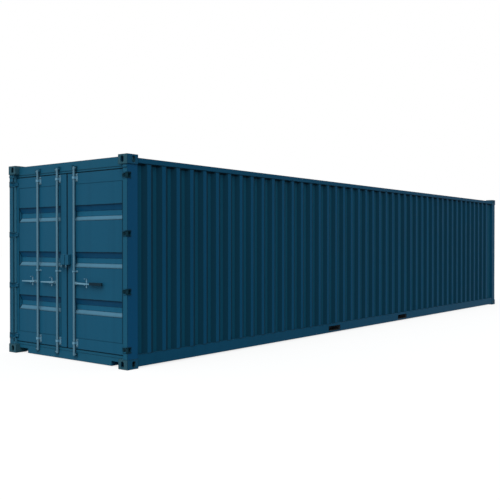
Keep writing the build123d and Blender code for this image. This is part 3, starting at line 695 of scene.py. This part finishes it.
# %% [markdown]
# ## Bolts and rivets
# The brackets are bolted through the leaves, and the hinge straps are held by domed rivets. A bolt
# is a turned washer with a six sided head on it. Each kind is one shape, scattered over its places,
# which follow from the rod axes and the heights of the brackets.

# %% Bolt and rivet shapes
washer = turned([(pole, -0.001), (0.0135, -0.001), (0.0135, 0.0018), (0.0125, 0.0024),
                 (pole, 0.0024)], sides=16)
head = turned([(pole, 0.0010), (0.0104, 0.0010), (0.0104, 0.0080), (0.0088, 0.0098),
               (pole, 0.0098)], sides=6)
stud = turned([(pole, -0.001), (0.0068, -0.001), (0.0068, 0.0040), (0.0050, 0.0058),
               (pole, 0.0062)], sides=12)
rivet = turned([(pole, -0.001), (0.0120, -0.001), (0.0118, 0.0015), (0.0095, 0.0045),
                (0.0055, 0.0062), (pole, 0.0068)], sides=14)
print("points of a rivet:", len(rivet[0]))

# %% Bolts on the brackets
plate_thickness = 0.006
bracket_x = leaf_face_x - plate_thickness
upper_bracket_z = leaf_top - 0.060
lower_bracket_z = leaf_foot + 0.074
mid_bracket_z = 1.157
bolt_step_y = -0.0405
bolt_steps_z = (-0.036, 0.036)
stud_steps_y = (bolt_step_y, 0.0295)
for side in leaves:
    bolt_places = []
    stud_places = []
    for name, body in rod_doors.items():
        if body == f"{side}_door":
            axis_y = rod_axes[name][1]
            bolt_places += [(bracket_x, axis_y + bolt_step_y, height + step)
                            for height in (lower_bracket_z, upper_bracket_z)
                            for step in bolt_steps_z]
            stud_places += [(bracket_x, axis_y + step, mid_bracket_z) for step in stud_steps_y]
    fasteners = [scatter(washer, bolt_places, to_doors), scatter(head, bolt_places, to_doors),
                 scatter(stud, stud_places, to_doors)]
    put(f"{side}_bracket_bolts", fasteners, f"{side}_door", bolt_zinc)

# %% Rivets on the hinges
hinge_count = 4
hinge_heights = np.linspace(leaf_foot + 0.074, leaf_top - 0.083, hinge_count)
strap_x = leaf_face_x - 0.012
strap_rivet_inset = 0.118
strap_steps_z = (-0.014, 0.014)
slant_middle = (door_plane_x + 0.029, 0.065)
slant_normal = (-0.766, 0.643)
for side, finish_material in (("left", door_paint), ("right", hinge_paint)):
    sign = side_signs[side]
    strap = [(strap_x, sign * (side_plane_y - strap_rivet_inset), height + step)
             for height in hinge_heights for step in strap_steps_z]
    slant = [(slant_middle[0], sign * (side_plane_y - slant_middle[1]), height)
             for height in hinge_heights]
    slant_turn = facing((slant_normal[0], -sign * slant_normal[1]))
    rivets = [scatter(rivet, strap, to_doors), scatter(rivet, slant, slant_turn)]
    put(f"{side}_hinge_rivets", rivets, f"{side}_door", finish_material)

# %% [markdown]
# ## Packing beside the hinge lugs
# A door post is cut out round each hinge, so that the blade can swing right back. Above and below
# the blade, thin blocks fill what is left of the notch, so that no daylight shows there. They are
# as deep as the notch and reach from the inner face of the post to the lug.

# %% Packing beside the hinge lugs
notch_depth = 0.060
notch_half = 0.036
blade_half = 0.0254
lug_inner_y = side_plane_y - 0.029
post_low, post_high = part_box("left_door_post")
lows = []
highs = []
for sign in (-1, 1):
    near, far = sorted((sign * post_low.y, sign * lug_inner_y))
    for height in hinge_heights:
        for low, high in ((-notch_half, -blade_half), (blade_half, notch_half)):
            lows.append((post_low.x, near, height + low))
            highs.append((post_low.x + notch_depth, far, height + high))
put("hinge_packing", [blocks(lows, highs, edge=0.0008)], "container", front_paint)

# %% [markdown]
# ## Rings in the ears of the lock box
# A padlock's shackle goes through an ear on each leaf. Where it would wear the paint, the eye has a
# pressed steel ring: a looped profile turned round the eye's axis.

# %% Rings in the ears of the lock box
eye_ring = turned([(0.0080, -0.0015), (0.0135, -0.0015), (0.0135, 0.0012), (0.0120, 0.0024),
                   (0.0080, 0.0024)], sides=20, looped=True)
ear_x = leaf_face_x - 0.042
ear_z = 1.221
for side, ear_y in (("left", 0.070), ("right", -0.0215)):
    put(f"{side}_eye_ring", [scatter(eye_ring, (ear_x, ear_y, ear_z), to_doors)], f"{side}_door",
        bolt_zinc)

# %% [markdown]
# ## Floor panels
# The floor is laid in plywood panels, two side by side along a steel strip in the middle, and
# screwed to every cross member. One flat plate would hide that, so the plate in the frame is
# replaced by panels with narrow joints, the strip and rows of screws, all from the box of that
# plate.

# %% Floor panels and their strip
floor_low, floor_high = (np.array(corner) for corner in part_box("floor_boards"))
front_post_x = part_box("left_front_post")[0].x
narrow_half = 1.057
strip_half = 0.030
strip_thickness = 0.006
joint = 0.0015
panel_count = 5
panel_edges = np.linspace(floor_low[0], front_post_x, panel_count + 1)
lows = []
highs = []
for start, end in zip(panel_edges[:-1], panel_edges[1:]):
    lows += [(start + joint, floor_low[1], floor_low[2]),
             (start + joint, strip_half + joint, floor_low[2])]
    highs += [(end - joint, -strip_half - joint, floor_high[2]),
              (end - joint, floor_high[1], floor_high[2])]
lows += [(front_post_x + joint, -narrow_half, floor_low[2])]
highs += [(floor_high[0], narrow_half, floor_high[2])]
panels = put("floor_panels", [blocks(lows, highs, edge=0.002)], "container", floor_timber)
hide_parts("floor_boards")
strip = blocks([(floor_low[0], -strip_half, floor_high[2] - strip_thickness)],
               [(front_post_x, strip_half, floor_high[2])], edge=0.001)
put("floor_strip", [strip], "container", underbody_coat)

# %% Screws of the floor
screw = turned([(pole, -0.002), (0.0085, -0.002), (0.0085, 0.0004), (0.0060, 0.0006),
                (pole, 0.0001)], sides=10)
screw_margin = 0.12
screw_rows = 39
screws_across = 6
screw_near = 0.09
screw_far = 1.10
screw_x = np.linspace(floor_low[0] + screw_margin, front_post_x - screw_margin, screw_rows)
screw_y = np.concatenate([np.linspace(-screw_far, -screw_near, screws_across),
                          np.linspace(screw_near, screw_far, screws_across)])
grid_x, grid_y = np.meshgrid(screw_x, screw_y, indexing="ij")
screw_places = np.stack([grid_x, grid_y, np.full_like(grid_x, floor_high[2])], axis=-1)
put("floor_screws", [scatter(screw, screw_places.reshape(-1, 3))], "container",
    bolt_zinc)

# %% [markdown]
# ## Seams
# Plates meet in seams that are welded and then sealed with a dark bead. The bead is a low half
# round carried along a path, with a small ripple where the welder moved on.

# %% Seam beads
seam_sink = 0.0005


def bead(path, up, out, half_width, height, ripple=0.15, ripple_length=0.02):
    """A half round of five points carried along a path: across it along one direction, raised
    along another, and sunk a little into the plate. Its height swells by the ripple once in each
    ripple length."""
    path = np.asarray(path, float)
    steps = np.linalg.norm(np.diff(path, axis=0), axis=1)
    travelled = np.concatenate([[0.0], np.cumsum(steps)])
    swell = 1.0 + ripple * np.sin(travelled * 2 * np.pi / ripple_length)
    angle = np.linspace(0, np.pi, 5)
    across = np.cos(angle)[None, :, None] * half_width * np.asarray(up, float)
    raised = np.sin(angle)[None, :, None] * height * np.asarray(out, float) * swell[:, None, None]
    under = -seam_sink * np.asarray(out, float)
    return (path[:, None] + across + raised + under).reshape(-1, 3), ring_faces(len(path), 5)


def straight(start, end, step=0.05):
    """Points from start to end, no more than a step apart."""
    start = np.asarray(start, float)
    end = np.asarray(end, float)
    count = max(2, int(np.ceil(np.linalg.norm(end - start) / step)) + 1)
    return start + (end - start) * np.linspace(0, 1, count)[:, None]


print("points along a seam of 1 m:", len(straight((0, 0, 0), (1, 0, 0))))

# %% [markdown]
# ## Seams of the door leaves
# Each leaf is a corrugated panel set into a frame of four members, so a bead runs round the panel
# where it meets them. The upright beads lie in the shade of the stiles; they are wider, and their
# darker sealer is painted shade.

# %% Seams of the door leaves
leaf_rail = 0.140
inner_stile = 0.120
outer_stile = 0.058
level_seam_width = 0.0045
upright_seam_width = 0.0060
seam_height = 0.0016
foot = leaf_foot + leaf_rail
top = leaf_top - leaf_rail
for side, (low, high) in leaves.items():
    sign = side_signs[side]
    near = sign * min(abs(low.y), abs(high.y)) + sign * inner_stile
    far = sign * max(abs(low.y), abs(high.y)) - sign * outer_stile
    level_seams = [bead(straight((leaf_face_x, near, height), (leaf_face_x, far, height)),
                        (0, 0, 1), (-1, 0, 0), level_seam_width, seam_height)
                   for height in (foot, top)]
    upright_seams = [bead(straight((leaf_face_x, across, foot), (leaf_face_x, across, top)),
                          (0, 1, 0), (-1, 0, 0), upright_seam_width, seam_height)
                     for across in (near, far)]
    put(f"{side}_leaf_level_seams", level_seams, f"{side}_door", seam_sealer)
    put(f"{side}_leaf_upright_seams", upright_seams, f"{side}_door", dark_sealer_and_shade)

# %% [markdown]
# ## Seams inside the door posts
# A door post is two plates that meet on its inner side, a little behind the front. The broad bead
# over that joint breaks off at each notch for a hinge, so it is made in pieces that run from one
# notch to the next, with the sill and the header as the outer ends.

# %% Seams inside the door posts
post_seam_depth = 0.020
post_seam_width = 0.0085
sill_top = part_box("door_sill")[1].z
header_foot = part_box("door_header")[0].z
notch_edges = (hinge_heights[:, None] + np.array([-notch_half, notch_half])).reshape(-1)
seam_ends = np.concatenate([[sill_top], notch_edges, [header_foot]]).reshape(-1, 2)
post_seam_x = post_low.x + post_seam_depth
post_seams = [bead(straight((post_seam_x, sign * post_low.y, low),
                            (post_seam_x, sign * post_low.y, high)),
                   (1, 0, 0), (0, -sign, 0), post_seam_width, seam_height)
              for sign in (-1, 1) for low, high in seam_ends]
# Painted shade: the bead's dark sealer stands for shade along the inner face of the post.
put("door_post_seams", post_seams, "container", dark_sealer_and_shade)

# %% [markdown]
# ## Seams of the long walls
# At its foot and head a long wall stands on a rail. The bead there follows the corrugation, so the
# same wave that shaped the sheet gives the path here: four corners for each crest, with a straight
# line from each to the next.

# %% Seams of the long walls
post_back_x = door_plane_x + 0.178
wall_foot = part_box("left_side_wall")[0].z
wall_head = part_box("left_side_wall")[1].z
crest_count = 45
crest_pitch = 0.25625
crest_half = 0.031
slope_run = 0.068
first_crest_x = door_plane_x + 0.375
wall_seam_step = 0.012
wall_seam_lift = 0.0005
wall_seam_size = 0.006
crest_middles = first_crest_x + crest_pitch * np.arange(crest_count)
corner_steps = np.array([-crest_half - slope_run, -crest_half, crest_half, crest_half + slope_run])
wave_x = (crest_middles[:, None] + corner_steps).reshape(-1)
wave_y = np.tile([side_trough_y, side_skin_y, side_skin_y, side_trough_y], crest_count)
wave_x = np.concatenate([[post_back_x], wave_x, [front_post_x]])
wave_y = np.concatenate([[side_trough_y], wave_y, [side_trough_y]])
x = np.arange(post_back_x, front_post_x, wall_seam_step)
for side, sign in side_signs.items():
    y = sign * (np.interp(x, wave_x, wave_y) + wall_seam_lift)
    for level, height, up in (("foot", wall_foot, 1), ("head", wall_head, -1)):
        path = np.stack([x, y, np.full_like(x, height)], axis=-1)
        wall_seam = bead(path, (0, sign, 0), (0, 0, up), wall_seam_size, wall_seam_size)
        put(f"{side}_wall_{level}_seam", [wall_seam], "container", dark_sealer_and_shade)

# %% [markdown]
# ## Pins and liners of the locking gear
# A handle hangs on a headed pin, and each bearing block has a plastic liner whose rim shows above
# and below. Both are turned shapes. The pin rides on the rod, which carries the handle's pivot, and
# the liners stay with the door.

# %% Pins and liners of the locking gear
pin_head = turned([(pole, -0.004), (0.0060, -0.004), (0.0060, 0.0000), (0.0098, 0.0002),
                   (0.0098, 0.0030), (0.0080, 0.0046), (pole, 0.0050)], sides=18)
liner = turned([(0.0162, -0.0025), (0.0180, -0.0025), (0.0184, -0.0012), (0.0184, 0.0012),
                (0.0180, 0.0025), (0.0162, 0.0025)], sides=28, looped=True)
handle_front_x = door_plane_x + 0.026
liner_gap = 0.0015
bow_halves = ((lower_bracket_z, 0.017), (upper_bracket_z, 0.017), (mid_bracket_z, 0.011))
for name, body in rod_doors.items():
    pivot = handle_pivots[name]
    axis = rod_axes[name]
    put(f"{name}_handle_pin_head",
        [scatter(pin_head, (handle_front_x, pivot[1], pivot[2]), to_doors)],
        f"{name}_rod", bolt_zinc)
    liner_places = [(axis[0], axis[1], height + end * (half + liner_gap))
                    for height, half in bow_halves for end in (-1, 1)]
    put(f"{name}_bearing_liners", [scatter(liner, liner_places)], body, liner_plastic)

# %% [markdown]
# ## Studio
# The floor and the far background are white to the camera and to reflections, but give the object
# little light, so that its dark blue stays dark. A high soft key from behind the camera lights the
# door end more than the long wall, and the sky fills the rest. Seen from below the floor is clear.

# %% Studio floor
def seen_directly(finish):
    """1 for rays from the camera, from a mirror or through glass, 0 for rays that gather light."""
    path = finish.tree.nodes.new("ShaderNodeLightPath")
    camera_ray, glossy_ray, glass_ray = (
        Value(finish, path.outputs[name])
        for name in ("Is Camera Ray", "Is Glossy Ray", "Is Transmission Ray"))
    return finish.math("MINIMUM", camera_ray + glossy_ray + glass_ray, 1.0)


floor_white = 0.80
floor_grey = (0.16, 0.16, 0.16, 1.0)
floor_reach = 60.0
studio = new_finish("studio floor")
glow = studio.node("ShaderNodeEmission", {}, {"Strength": seen_directly(studio) * floor_white})
matt = studio.node("ShaderNodeBsdfDiffuse", {}, {"Color": floor_grey})
upper_side = studio.node("ShaderNodeAddShader", {}, {0: glow, 1: matt})
under_side = studio.node("ShaderNodeBsdfTransparent")
from_below = studio.node("ShaderNodeNewGeometry", out="Backfacing")
floor_shader = studio.node("ShaderNodeMixShader", {}, {0: from_below, 1: upper_side, 2: under_side})
floor_corners = [(-floor_reach, -floor_reach, 0), (floor_reach, -floor_reach, 0),
                 (floor_reach, floor_reach, 0), (-floor_reach, floor_reach, 0)]
floor_mesh = bpy.data.meshes.new("studio_floor")
floor_mesh.from_pydata(floor_corners, [], [(0, 1, 2, 3)])
floor_mesh.materials.append(studio.end(floor_shader))
studio_floor = bpy.data.objects.new("studio_floor", floor_mesh)
bpy.context.scene.collection.objects.link(studio_floor)

# %% Sky
sky_strength = 0.88
sky_colour = (0.86, 0.95, 1.0, 1.0)
background_white = (1.0, 1.0, 1.0, 1.0)
sky = Finish(bpy.data.worlds.new("studio world"))
direct = seen_directly(sky)
sky_shader = sky.node("ShaderNodeBackground", {}, {
    "Color": sky.blend(direct, sky_colour, background_white),
    "Strength": sky_strength + direct * (1.0 - sky_strength)})
bpy.context.scene.world = sky.end(sky_shader, "ShaderNodeOutputWorld")
print("strength of the sky's light:", sky_strength)

# %% Key lamp
key_heading = 203
key_height = 58
key = bpy.data.lights.new("key", "SUN")
key.color = (1.0, 0.98, 0.95)
key.energy = 2.3
key.angle = math.radians(50)
key_lamp = bpy.data.objects.new("key", key)
key_lamp.rotation_euler = (math.radians(90 - key_height), 0, math.radians(key_heading + 90))
bpy.context.scene.collection.objects.link(key_lamp)
